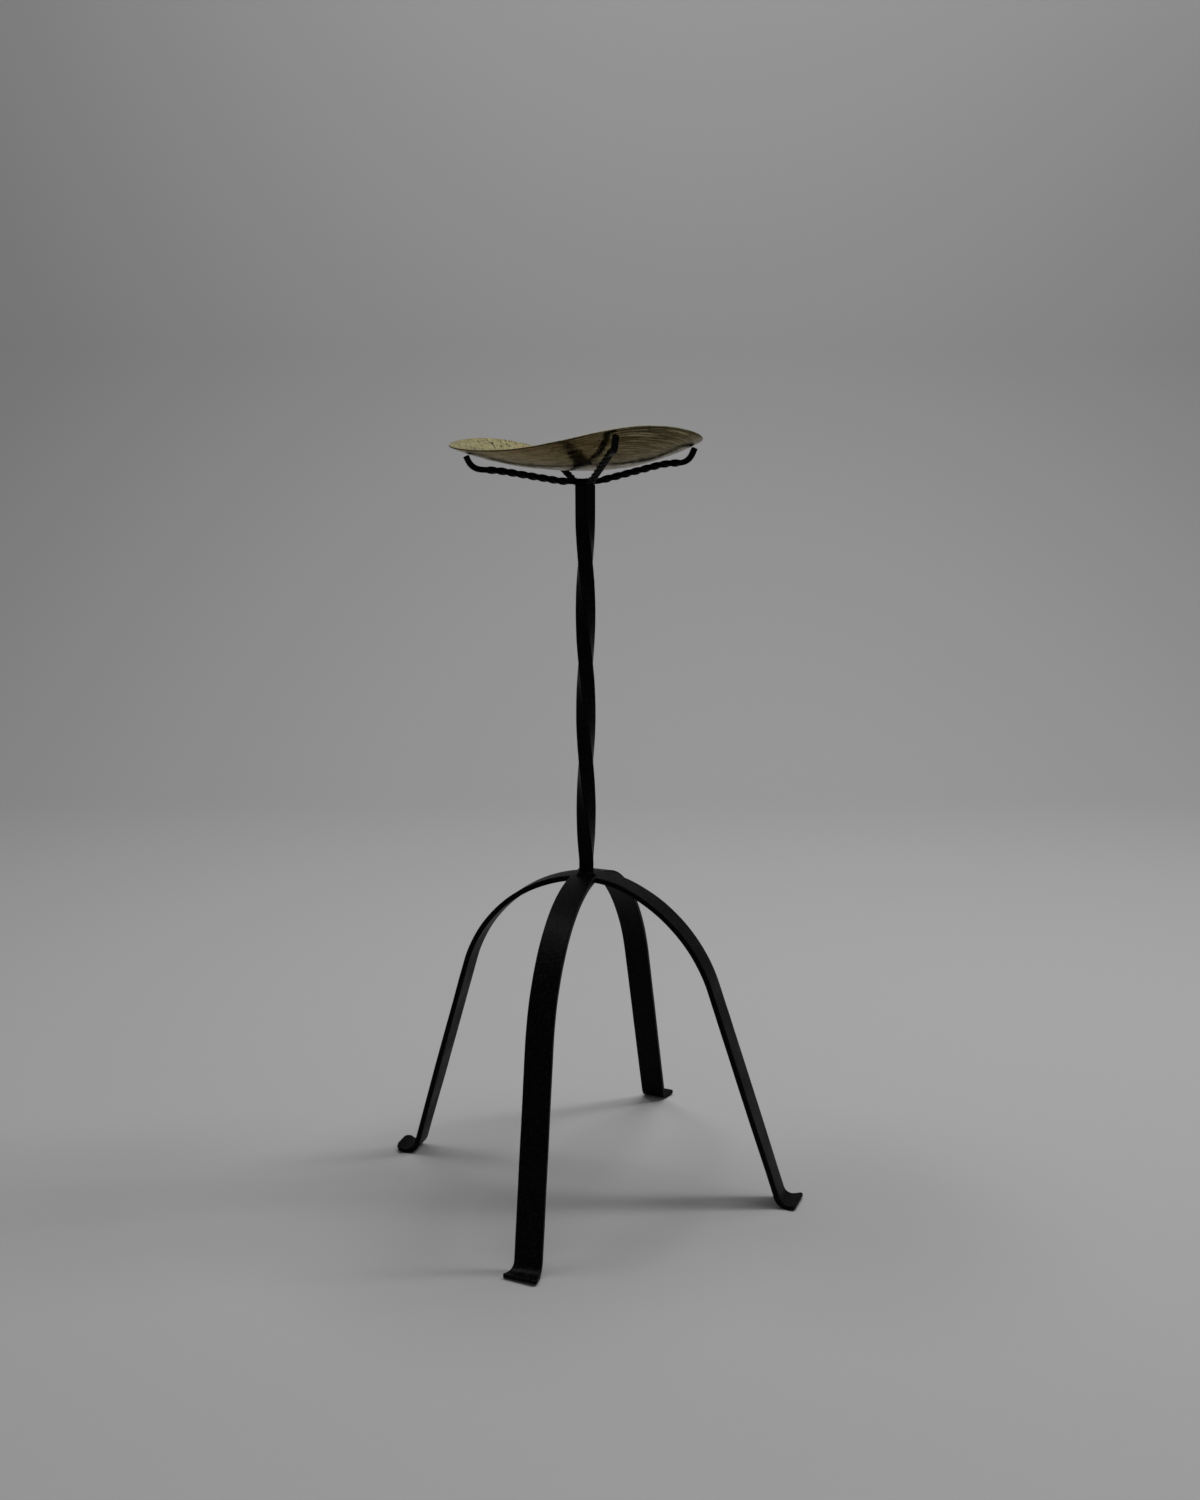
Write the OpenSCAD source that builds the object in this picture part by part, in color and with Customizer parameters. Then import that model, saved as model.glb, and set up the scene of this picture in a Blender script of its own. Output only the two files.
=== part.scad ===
// Forged iron candle holder with a loose brass dish.
// A twisted square stem stands on four bowed flat-bar legs with curled, flared feet.
// Four thin twisted arms leave the top of the stem and turn up under the dish.
// The dish is a shallow round bowl bent by hand to a gentle saddle. It only rests
// on the four arm tips and lifts off. Millimetres, +Z up, origin on the floor
// under the stem, +X along the right leg.

/* [Stem] */
// Side of the stem's square bar
stem_side = 12; // [9:0.5:16]
// Cut of the bar's softened edges
stem_edge = 0.9; // [0.3:0.1:1.6]
// Length of the stem
stem_length = 321; // [220:1:420]
// Plain length at the foot of the stem
stem_plain_foot = 13; // [5:1:40]
// Plain length at the head of the stem
stem_plain_head = 21; // [5:1:40]
// Twist of the stem between its plain ends
stem_twist = 315; // [0:5:720]
// Direction that a face of the stem's foot looks in
stem_face = -70.7; // [-90:0.1:90]

/* [Legs] */
// Height of the level hub where the four legs meet under the stem
hub_height = 268.9; // [220:0.1:320]
// Width of the flat bar
leg_width = 21.3; // [16:0.1:26]
// Thickness of the flat bar
leg_thickness = 4.5; // [3:0.1:6]
// Level run from the stem's axis to the first bend
leg_level = 5; // [4:0.5:15]
// Gap left for the weld between two mitred leg ends
leg_weld_gap = 0.1; // [0.05:0.05:0.5]
// Radius of the curl at the foot, on the bar's middle line
foot_radius = 10.1; // [7:0.1:16]
// Upward turn of the foot past level
foot_lift = 11.7; // [0:0.1:25]
// Straight end of the foot past the curl
foot_tip = 6.1; // [3:0.1:12]
// Width of the flared foot at its tip
foot_width = 26.7; // [22:0.1:34]
// Radius of the foot's two tip corners
foot_corner = 5; // [2:0.5:8]
// Depth of the flat worn under each foot
sole_depth = 0.25; // [0.1:0.05:0.5]

/* [Front leg] */
// Direction of the front leg
front_leg_turn = -86.3; // [-100:0.1:-75]
// Reach of the front leg to its sole
front_leg_reach = 175.7; // [150:0.1:200]
// Lean of the front leg's straight shin
front_leg_lean = 11.3; // [8:0.1:24]
// Radius of the front leg's first bend
front_crown_radius = 165; // [60:1:200]
// Turn of the front leg's first bend
front_crown_turn = 13; // [5:0.5:40]

/* [Right leg] */
// Direction of the right leg
right_leg_turn = 0; // [-10:0.1:10]
// Reach of the right leg to its sole
right_leg_reach = 176.9; // [150:0.1:200]
// Lean of the right leg's straight shin
right_leg_lean = 18.8; // [8:0.1:24]
// Radius of the right leg's first bend
right_crown_radius = 82; // [60:1:200]
// Turn of the right leg's first bend
right_crown_turn = 23.5; // [5:0.5:40]

/* [Back leg] */
// Direction of the back leg
back_leg_turn = 85.9; // [75:0.1:100]
// Reach of the back leg to its sole
back_leg_reach = 173.7; // [150:0.1:200]
// Lean of the back leg's straight shin
back_leg_lean = 16.5; // [8:0.1:24]
// Radius of the back leg's first bend
back_crown_radius = 92; // [60:1:200]
// Turn of the back leg's first bend
back_crown_turn = 38.5; // [5:0.5:40]

/* [Left leg] */
// Direction of the left leg
left_leg_turn = 182.4; // [170:0.1:195]
// Reach of the left leg to its sole
left_leg_reach = 169.7; // [150:0.1:200]
// Lean of the left leg's straight shin
left_leg_lean = 16.4; // [8:0.1:24]
// Radius of the left leg's first bend
left_crown_radius = 60; // [40:1:200]
// Turn of the left leg's first bend
left_crown_turn = 12; // [5:0.5:40]

/* [Arms] */
// Side of the arms' square bar
arm_side = 4.5; // [3.5:0.1:6]
// Cut of the arm bar's softened edges
arm_edge = 0.5; // [0.2:0.1:1]
// Gap left for the weld between two mitred arm ends
arm_weld_gap = 0.1; // [0.05:0.05:0.5]
// Level run from the stem's axis to the arm's rise
arm_level = 10; // [8:0.5:16]
// Distance from the stem's axis to the end of the rise
arm_knee = 68; // [55:0.5:75]
// Rise of the nearly level stretch between the knee and the tip's bend
arm_shelf_rise = 0.9; // [0:0.1:3]
// Height that a tip climbs above the level stretch
arm_upturn = 12.6; // [9:0.1:18]
// Slope of the tip
arm_tip_slope = 66; // [50:1:80]
// Start of the twist along the arm
arm_twist_start = 14; // [8:1:25]
// End of the twist along the arm
arm_twist_end = 78; // [60:1:82]
// Twist of each arm
arm_twist = 720; // [0:90:1080]
// Direction of the front arm
front_arm_turn = -56.9; // [-75:0.1:-40]
// Distance from the stem's axis to the front arm's tip
front_arm_reach = 92.5; // [86:0.1:96]
// Direction of the right arm
right_arm_turn = 30.3; // [15:0.1:45]
// Distance from the stem's axis to the right arm's tip
right_arm_reach = 90.5; // [86:0.1:96]
// Direction of the back arm
back_arm_turn = 126.3; // [110:0.1:140]
// Distance from the stem's axis to the back arm's tip
back_arm_reach = 92; // [86:0.1:96]
// Direction of the left arm
left_arm_turn = 210.3; // [195:0.1:225]
// Distance from the stem's axis to the left arm's tip
left_arm_reach = 94; // [86:0.1:96]

/* [Dish] */
// Mean radius of the dish
dish_radius = 99.7; // [85:0.1:120]
// Thickness of the brass sheet
dish_sheet = 1.1; // [0.8:0.1:2]
// Mean height of the rim above the bottom, both on the underside
dish_depth = 19.9; // [12:0.1:30]
// Power of the bowl's curve
dish_curve = 2.2; // [1.6:0.1:3]
// Height of the dish's bottom above the top of the arms' hub
dish_lift = 6.5; // [3:0.1:12]
// Height of the saddle's two high sides over the mean rim
saddle_height = 8.3; // [0:0.1:12]
// Direction of the saddle's high side
saddle_turn = -16.8; // [-90:0.1:90]
// Height of the slight tilt at the rim
tilt_height = 1.8; // [0:0.1:4]
// Direction of the tilt's high side
tilt_turn = -15.5; // [-90:0.1:90]
// Height of the three-fold hand-bent wave in the rim
wave_height = 1.7; // [0:0.1:3]
// Direction of a crest of the three-fold wave
wave_turn = 47.1; // [0:0.1:120]
// Height of the four-fold ripple in the rim
ripple_height = 1.5; // [0:0.1:3]
// Direction of a crest of the four-fold ripple
ripple_turn = 48.6; // [0:0.1:90]
// Amount by which the plan is longer one way than the other
oval = 1.3; // [0:0.1:4]
// Direction of the plan's long way
oval_turn = 32.5; // [0:0.1:180]
// Distance that the dish lies off the stem's axis
dish_shift = 7; // [0:0.1:8]
// Direction in which the dish lies off the axis
dish_shift_turn = 199.7; // [0:0.1:360]
// Clearance between an arm's tip and the dish
rest_gap = 0.3; // [0.1:0.05:0.5]

/* [Hidden] */
IRON = [0.07, 0.07, 0.075];
BRASS = [0.42, 0.38, 0.25];
// Largest turn between two points of a bend in a leg
BEND_STEP = 3;
// Largest turn between two rings of the stem and of an arm
STEM_STEP = 5;
ARM_STEP = 15;
// Points in an eased bend of an arm
EASE_POINTS = 6;
// Setback of the eased bends at the arm's root, knee and toe
ROOT_EASE = 4;
KNEE_EASE = 8;
TOE_EASE = 8;
// Segments round the dish and rings from its middle to its rim
DISH_SEGMENTS = 60;
DISH_RINGS = 10;
// Room past a solid that a cut or an extrusion runs through
SPARE = 1;

stem_top = hub_height + stem_length;
arm_axis_z = stem_top + arm_side / 2;
dish_bottom = stem_top + arm_side + dish_lift;
leg_turns = [front_leg_turn, right_leg_turn, back_leg_turn, left_leg_turn];
arm_turns = [front_arm_turn, right_arm_turn, back_arm_turn, left_arm_turn];

// Half of the turn between one of four members and the next one round
function half_turn(turns, i) =
    let (next = i == 3 ? turns[0] + 360 : turns[i + 1])
    (next - turns[i]) / 2;

// Square with cut corners, counter-clockwise
function soft_square(side, cut) =
    let (h = side / 2, k = side / 2 - cut)
    [[h, -k], [h, k], [k, h], [-k, h], [-h, k], [-h, -k], [-k, -h], [k, -h]];

function unit(v) = v / norm(v);
function rotated(p, a) = [p[0] * cos(a) - p[1] * sin(a), p[0] * sin(a) + p[1] * cos(a)];

// Solid through a list of rings that have equally many points
module skin(rings) {
    n = len(rings[0]);
    last = len(rings) - 1;
    walls = [
        for (i = [0:last - 1], j = [0:n - 1], half = [0, 1])
            let (a = i * n + j, b = i * n + (j + 1) % n)
            half == 0 ? [a, a + n, b + n] : [a, b + n, b]
    ];
    foot = [for (j = [0:n - 1]) j];
    head = [for (j = [n - 1:-1:0]) last * n + j];
    points = [for (ring = rings, p = ring) p];
    polyhedron(points = points, faces = concat([foot], walls, [head]), convexity = 6);
}

// Stem: plain foot, twisted middle and plain head, as one bar
module stem() {
    section = soft_square(stem_side, stem_edge);
    steps = max(1, ceil(stem_twist / STEM_STEP));
    twist_z = hub_height + stem_plain_foot;
    twist_length = stem_length - stem_plain_foot - stem_plain_head;
    middle = [for (i = [0:steps]) [twist_z + twist_length * i / steps, -stem_twist * i / steps]];
    stations = concat([[hub_height, 0]], middle, [[stem_top, -stem_twist]]);
    rings = [
        for (s = stations)
            [for (p = section) let (q = rotated(p, stem_face + s[1])) [q[0], q[1], s[0]]]
    ];
    color(IRON) skin(rings);
}

// Run of a leg's middle line from one point over an arc, as [x, z] points
function arc_run(from, slope, turn, radius) =
    let (n = ceil(abs(turn) / BEND_STEP))
    [
        for (i = [1:n])
            let (a = slope + turn * i / n, side = sign(turn))
            from + radius * side * [sin(a) - sin(slope), cos(slope) - cos(a)]
    ];

// Slopes that belong to the points of arc_run
function arc_slopes(slope, turn) =
    let (n = ceil(abs(turn) / BEND_STEP))
    [for (i = [1:n]) slope + turn * i / n];

// Radius of the long bow that brings the leg to its reach at the given lean
function bow_radius(reach, lean, crown_radius, crown_turn) =
    let (
        drop = hub_height - leg_thickness - foot_radius * (1 - sin(lean)),
        run = reach - leg_level - crown_radius * sin(crown_turn) - foot_radius * cos(lean),
        shin_drop = drop - crown_radius * (1 - cos(crown_turn)),
        share = cos(lean) - sin(crown_turn) - tan(lean) * (cos(crown_turn) - sin(lean))
    )
    (run - tan(lean) * shin_drop) / share;

// Side outline of a leg: a strip along level run, crown, bow, shin, curl and tip
module leg_side(reach, lean, crown_radius, crown_turn) {
    bow = bow_radius(reach, lean, crown_radius, crown_turn);
    start = [leg_level, hub_height - leg_thickness / 2];
    shin_slope = lean - 90;
    crown = arc_run(start, 0, -crown_turn, crown_radius);
    bowed = arc_run(crown[len(crown) - 1], -crown_turn, shin_slope + crown_turn, bow);
    curl_z = leg_thickness / 2 + foot_radius * (1 - sin(lean)) - sole_depth;
    curl_start = [reach - foot_radius * cos(lean), curl_z];
    curl = arc_run(curl_start, shin_slope, foot_lift - shin_slope, foot_radius);
    tip = curl[len(curl) - 1] + foot_tip * [cos(foot_lift), sin(foot_lift)];
    line = concat([[0, start[1]], start], crown, bowed, [curl_start], curl, [tip]);
    slopes = concat(
        [0, 0], arc_slopes(0, -crown_turn), arc_slopes(-crown_turn, shin_slope + crown_turn),
        [shin_slope], arc_slopes(shin_slope, foot_lift - shin_slope), [foot_lift]
    );
    half = leg_thickness / 2;
    upper = [for (i = [0:len(line) - 1]) line[i] + half * [-sin(slopes[i]), cos(slopes[i])]];
    lower = [for (i = [len(line) - 1:-1:0]) line[i] - half * [-sin(slopes[i]), cos(slopes[i])]];
    polygon(concat(upper, lower));
}

// Plan outline of a leg: mitred at the hub, parallel, then flared to a round-cornered foot
module leg_plan(reach, lean, half_before, half_after) {
    flare_start = reach - foot_radius * cos(lean);
    foot_end = reach + foot_radius * sin(foot_lift) + foot_tip * cos(foot_lift);
    half = leg_width / 2;
    apex = leg_weld_gap / 2 / sin(min(half_before, half_after));
    wide = foot_width / 2;
    corner = min(foot_corner, wide - SPARE);
    corner_arc = [
        for (a = [0:15:90])
            [foot_end - corner + corner * sin(a), wide - corner + corner * cos(a)]
    ];
    right = [
        [apex, 0],
        [apex + half / tan(half_before), -half],
        [flare_start, -half]
    ];
    right_corner = [for (i = [0:len(corner_arc) - 1]) [corner_arc[i][0], -corner_arc[i][1]]];
    left_corner = [for (i = [len(corner_arc) - 1:-1:0]) corner_arc[i]];
    left = [
        [flare_start, half],
        [apex + half / tan(half_after), half]
    ];
    polygon(concat(right, right_corner, left_corner, left));
}

// One leg: the bent strip cut to its plan outline and flat under the foot
module leg(i, reach, lean, crown_radius, crown_turn) {
    before = half_turn(leg_turns, (i + 3) % 4);
    after = half_turn(leg_turns, i);
    color(IRON)
        rotate([0, 0, leg_turns[i]])
            intersection() {
                rotate([90, 0, 0])
                    translate([0, 0, -foot_width / 2 - SPARE])
                        linear_extrude(height = foot_width + 2 * SPARE)
                            leg_side(reach, lean, crown_radius, crown_turn);
                linear_extrude(height = hub_height + SPARE)
                    leg_plan(reach, lean, before, after);
            }
}

module leg_front() {
    leg(0, front_leg_reach, front_leg_lean, front_crown_radius, front_crown_turn);
}

module leg_right() {
    leg(1, right_leg_reach, right_leg_lean, right_crown_radius, right_crown_turn);
}

module leg_back() {
    leg(2, back_leg_reach, back_leg_lean, back_crown_radius, back_crown_turn);
}

module leg_left() {
    leg(3, left_leg_reach, left_leg_lean, left_crown_radius, left_crown_turn);
}

// Middle of the dish in plan
function dish_middle() = dish_shift * [cos(dish_shift_turn), sin(dish_shift_turn)];

// Radius of the dish's rim in plan, in the direction a
function rim_radius(a) = dish_radius + oval * cos(2 * (a - oval_turn));

// Height of the dish's underside at the share m of the way out, in the direction a
function underside(a, m) =
    dish_bottom + dish_depth * pow(m, dish_curve)
    + tilt_height * cos(a - tilt_turn) * m
    + saddle_height * cos(2 * (a - saddle_turn)) * pow(m, 2)
    + wave_height * cos(3 * (a - wave_turn)) * pow(m, 3)
    + ripple_height * cos(4 * (a - ripple_turn)) * pow(m, 4);

// Height of the dish's underside over a point of the plan
function underside_at(p) =
    let (
        d = p - dish_middle(),
        a = atan2(d[1], d[0])
    )
    underside(a, norm(d) / rim_radius(a));

// Point of the dish's underside
function dish_point(a, m) =
    let (p = dish_middle() + m * rim_radius(a) * [cos(a), sin(a)])
    [p[0], p[1], underside(a, m)];

// Dish: a sheet of even height between its underside and its upper side
module dish() {
    n = DISH_SEGMENTS;
    rings = [
        for (i = [1:DISH_RINGS])
            [for (j = [0:n - 1]) dish_point(360 * j / n, i / DISH_RINGS)]
    ];
    rise = [0, 0, dish_sheet];
    under = concat([dish_point(0, 0)], [for (ring = rings, p = ring) p]);
    count = len(under);
    points = concat(under, [for (p = under) p + rise]);
    fan = [for (j = [0:n - 1]) [0, 1 + j, 1 + (j + 1) % n]];
    bands = [
        for (i = [0:DISH_RINGS - 2], j = [0:n - 1], half = [0, 1])
            let (a = 1 + i * n + j, b = 1 + i * n + (j + 1) % n)
            half == 0 ? [a, a + n, b + n] : [a, b + n, b]
    ];
    sheet = concat(fan, bands);
    upper = [for (f = sheet) [f[0] + count, f[2] + count, f[1] + count]];
    rim = [
        for (j = [0:n - 1], half = [0, 1])
            let (a = count - n + j, b = count - n + (j + 1) % n)
            half == 0 ? [a, a + count, b + count] : [a, b + count, b]
    ];
    color(BRASS) polyhedron(points = points, faces = concat(sheet, upper, rim), convexity = 6);
}

// Corner of the arm's path, eased by a short curve, as [x, z] points
function eased(before, corner, after, setback) =
    let (
        from = corner + setback * unit(before - corner),
        to = corner + setback * unit(after - corner)
    )
    [
        for (i = [0:EASE_POINTS])
            let (t = i / EASE_POINTS)
            pow(1 - t, 2) * from + 2 * t * (1 - t) * corner + t * t * to
    ];

// Points between two ends, neither included
function between(from, to, n) = [for (i = [1:n]) from + (to - from) * i / (n + 1)];

// Highest middle of an arm's end that keeps both of its upper corners off the dish
function tip_middle(turn, reach) =
    let (
        back = arm_side / 2 * [sin(arm_tip_slope), -cos(arm_tip_slope)],
        corner_a = rotated([reach, arm_side / 2], turn),
        corner_b = rotated([reach, -arm_side / 2], turn),
        contact = min(underside_at(corner_a), underside_at(corner_b)) - rest_gap
    )
    [reach + back[0], contact + back[1]];

// Middle line of an arm: level at the hub, a rise, a shelf and an upturned tip
function arm_line(turn, reach) =
    let (
        tip = tip_middle(turn, reach),
        shelf_z = tip[1] - arm_upturn,
        root = [0, arm_axis_z],
        rise_start = [arm_level, arm_axis_z],
        knee = [arm_knee, shelf_z],
        toe_run = (arm_upturn - arm_shelf_rise) / tan(arm_tip_slope),
        toe = [tip[0] - toe_run, shelf_z + arm_shelf_rise],
        root_bend = eased(root, rise_start, knee, ROOT_EASE),
        knee_bend = eased(rise_start, knee, toe, KNEE_EASE),
        toe_bend = eased(knee, toe, tip, TOE_EASE),
        rings = ceil(arm_twist / ARM_STEP * (arm_knee - arm_level) / (arm_twist_end - arm_twist_start))
    )
    concat(
        [root], root_bend,
        between(root_bend[EASE_POINTS], knee_bend[0], rings),
        knee_bend, toe_bend, [tip]
    );

// One arm: its square bar along the path, twisted, with its root mitred to the others
module arm(i, reach) {
    line = arm_line(arm_turns[i], reach);
    last = len(line) - 1;
    section = soft_square(arm_side, arm_edge);
    twist_run = arm_twist_end - arm_twist_start;
    before = half_turn(arm_turns, (i + 3) % 4);
    after = half_turn(arm_turns, i);
    apex = arm_weld_gap / 2 / sin(min(before, after));
    half = arm_side / 2 + SPARE;
    rings = [
        for (k = [0:last])
            let (
                ahead = line[min(k + 1, last)],
                behind = line[max(k - 1, 0)],
                along = k == last ? [cos(arm_tip_slope), sin(arm_tip_slope)] : unit(ahead - behind),
                way = min(1, max(0, (line[k][0] - arm_twist_start) / twist_run))
            )
            [
                for (p = section)
                    let (q = rotated(p, arm_twist * way))
                    [line[k][0] - q[1] * along[1], q[0], line[k][1] + q[1] * along[0]]
            ]
    ];
    reach_past = reach + 2 * arm_side;
    color(IRON)
        rotate([0, 0, arm_turns[i]])
            intersection() {
                skin(rings);
                translate([0, 0, stem_top - SPARE])
                    linear_extrude(height = 2 * (dish_depth + saddle_height + dish_lift + arm_side))
                        polygon([
                            [apex, 0],
                            [apex + half / tan(before), -half],
                            [reach_past, -half],
                            [reach_past, half],
                            [apex + half / tan(after), half]
                        ]);
            }
}

module arm_front() {
    arm(0, front_arm_reach);
}

module arm_right() {
    arm(1, right_arm_reach);
}

module arm_back() {
    arm(2, back_arm_reach);
}

module arm_left() {
    arm(3, left_arm_reach);
}

stem();
leg_front();
leg_right();
leg_back();
leg_left();
arm_front();
arm_right();
arm_back();
arm_left();
dish();
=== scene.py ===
"""Looks of a forged iron candle holder with a loose brass dish.

A twisted square stem stands on four bowed flat bars. Four thin twisted arms leave its top and
carry a shallow brass dish, bent by hand to a saddle. Every bar is made here as a smith makes it:
a straight bar is cut to length, its foot is flared, its edges are softened, it is twisted and bent
over its path, and its root is mitred. Metres, +Z up, origin on the floor under the stem.
"""

import logging
import math
from collections.abc import Callable
from collections.abc import Iterator
from collections.abc import Sequence
from contextlib import contextmanager
from dataclasses import dataclass
from dataclasses import field
from enum import Enum

import bmesh
import bpy
from mathutils import Matrix
from mathutils import Vector


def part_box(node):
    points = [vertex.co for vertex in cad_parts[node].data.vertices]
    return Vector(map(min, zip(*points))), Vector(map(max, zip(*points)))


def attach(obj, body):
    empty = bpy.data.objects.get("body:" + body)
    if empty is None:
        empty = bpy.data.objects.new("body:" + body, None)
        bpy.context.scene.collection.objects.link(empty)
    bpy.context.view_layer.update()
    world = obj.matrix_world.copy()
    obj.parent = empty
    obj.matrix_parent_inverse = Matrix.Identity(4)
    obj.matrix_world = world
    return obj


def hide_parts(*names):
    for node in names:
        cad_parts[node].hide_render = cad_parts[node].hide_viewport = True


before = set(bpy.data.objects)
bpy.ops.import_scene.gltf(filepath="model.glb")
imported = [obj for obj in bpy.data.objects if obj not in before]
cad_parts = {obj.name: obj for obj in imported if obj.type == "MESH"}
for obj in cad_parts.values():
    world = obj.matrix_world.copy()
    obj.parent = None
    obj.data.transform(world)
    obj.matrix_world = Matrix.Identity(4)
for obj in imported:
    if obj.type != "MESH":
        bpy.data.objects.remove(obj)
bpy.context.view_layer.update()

logging.basicConfig(level=logging.INFO, format="%(name)s: %(message)s")
log = logging.getLogger("candle_holder")

MM = 0.001
IMAGE_WIDTH = 1200
IMAGE_HEIGHT = 1500
# Sockets of the colour form of the Mix node
MIX_A = 6
MIX_B = 7
MIX_RESULT = 2
# Noise seldom leaves these values
NOISE_SPAN = (0.3, 0.7)
# Two points nearer than this along an axis are level with each other
LEVEL_WITHIN = 0.002 * MM
# A cut takes a point nearer than this to its plane as on it
CUT_WITHIN = 0.0001 * MM
# An edge runs along an axis when more than this share of its length does
ALONG_SHARE = 0.99
# Faces that turn away from each other by more than this have a sharp edge between them
SHARP_TURN = math.radians(50)

Point = tuple[float, float]
Span = tuple[float, float]
Line = list[Point]


class Body(Enum):
    """The bodies that pieces ride on."""

    STAND = "stand"
    DISH = "dish"


class Slot(Enum):
    """The record's material slots."""

    IRON = "iron"
    BRASS = "brass"


class Side(Enum):
    """The four sides that legs and arms go to, in their order round the stem."""

    FRONT = "front"
    RIGHT = "right"
    BACK = "back"
    LEFT = "left"


SIDES = list(Side)


def linear(code: str) -> tuple[float, float, float, float]:
    """Turns an sRGB hex colour to linear light.

    Args:
        code: The colour as #rrggbb.

    Returns:
        Linear red, green and blue, and an alpha of 1.
    """
    parts = [int(code[i:i + 2], 16) / 255 for i in (1, 3, 5)]
    light = [p / 12.92 if p <= 0.04045 else ((p + 0.055) / 1.055) ** 2.4 for p in parts]
    return light[0], light[1], light[2], 1.0


def per_metre(size_mm: float) -> float:
    """Scale of a texture whose features measure so many millimetres."""
    return 1.0 / (size_mm * MM)


def add_node(
    tree: bpy.types.NodeTree,
    kind: str,
    settings: dict[str, object] | None = None,
    inputs: dict[str | int, object] | None = None,
) -> bpy.types.Node:
    """Adds a node with its settings, its values and its links.

    Args:
        tree: The node tree.
        kind: The node's type.
        settings: Properties of the node.
        inputs: Sockets by name or number. A socket as value is linked, anything else is set.

    Returns:
        The new node.
    """
    node = tree.nodes.new(kind)
    for name, value in (settings or {}).items():
        setattr(node, name, value)
    for socket, value in (inputs or {}).items():
        if isinstance(value, bpy.types.NodeSocket):
            tree.links.new(value, node.inputs[socket])
        else:
            node.inputs[socket].default_value = value
    return node


def bare_material(name: str) -> tuple[bpy.types.Material, bpy.types.NodeTree]:
    """Makes a material with an empty node tree.

    Args:
        name: The material's name.

    Returns:
        The material and its tree.
    """
    material = bpy.data.materials.new(name)
    material.use_nodes = True
    material.node_tree.nodes.clear()
    return material, material.node_tree


def select_only(piece: bpy.types.Object) -> None:
    """Deselects everything, then selects a piece and makes it active."""
    bpy.ops.object.select_all(action="DESELECT")
    piece.select_set(True)
    bpy.context.view_layer.objects.active = piece


@contextmanager
def edit_mode(piece: bpy.types.Object, kind: str = "VERT") -> Iterator[bmesh.types.BMesh]:
    """Opens a piece in edit mode with nothing selected.

    Args:
        piece: The piece.
        kind: VERT, EDGE or FACE.

    Yields:
        The piece's mesh as it is edited.
    """
    select_only(piece)
    bpy.ops.object.mode_set(mode="EDIT")
    bpy.ops.mesh.select_mode(type=kind)
    bpy.ops.mesh.select_all(action="DESELECT")
    yield bmesh.from_edit_mesh(piece.data)
    bpy.ops.object.mode_set(mode="OBJECT")


def pick_verts(piece: bpy.types.Object, test: Callable[[Vector], bool]) -> None:
    """Selects only the points of a piece in edit mode whose place passes a test."""
    mesh = bmesh.from_edit_mesh(piece.data)
    for vert in mesh.verts:
        vert.select_set(test(vert.co))
    mesh.select_flush_mode()
    bmesh.update_edit_mesh(piece.data)


def pick_edges(piece: bpy.types.Object, test: Callable[[Vector, Vector], bool]) -> None:
    """Selects only the edges of a piece in edit mode whose middle and run pass a test."""
    mesh = bmesh.from_edit_mesh(piece.data)
    for edge in mesh.edges:
        edge.select_set(False)
    for edge in mesh.edges:
        start, end = (vert.co for vert in edge.verts)
        if test((start + end) / 2, end - start):
            edge.select_set(True)
    mesh.select_flush_mode()
    bmesh.update_edit_mesh(piece.data)


def runs_along(axis: int) -> Callable[[Vector, Vector], bool]:
    """Test for pick_edges that an edge runs along an axis."""
    return lambda middle, run: abs(run[axis]) > ALONG_SHARE * run.length


def apply_modifier(piece: bpy.types.Object, kind: str, **settings: object) -> None:
    """Gives a piece a modifier and applies it.

    Args:
        piece: The piece.
        kind: The modifier's type.
        settings: The modifier's properties.
    """
    modifier = piece.modifiers.new(kind.title(), kind)
    for name, value in settings.items():
        setattr(modifier, name, value)
    select_only(piece)
    bpy.ops.object.modifier_apply(modifier=modifier.name)


def settle(
    piece: bpy.types.Object,
    turn: Sequence[float] = (0, 0, 0),
    place: Sequence[float] = (0, 0, 0),
    size: Sequence[float] = (1, 1, 1),
) -> None:
    """Sizes, turns and places a piece, and moves all three into its mesh.

    Args:
        piece: The piece, its object at the origin.
        turn: Its turn about X, Y and Z in radians.
        place: Where its origin goes.
        size: Its scale along X, Y and Z.
    """
    piece.rotation_euler = turn
    piece.location = place
    piece.scale = size
    select_only(piece)
    bpy.ops.object.transform_apply(location=True, rotation=True, scale=True)


def add_piece(
    name: str,
    finishes: Sequence[bpy.types.Material],
    primitive: Callable[..., set[str]],
    **settings: object,
) -> bpy.types.Object:
    """Adds a primitive with everything else deselected, and names and dresses it.

    Args:
        name: The piece's name.
        finishes: Its materials, in the order of its material slots.
        primitive: The operator that adds it.
        settings: The operator's settings.

    Returns:
        The new piece.
    """
    bpy.ops.object.select_all(action="DESELECT")
    primitive(**settings)
    piece = bpy.context.active_object
    piece.name = name
    piece.data.name = name
    for finish in finishes:
        piece.data.materials.append(finish)
    return piece


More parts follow.
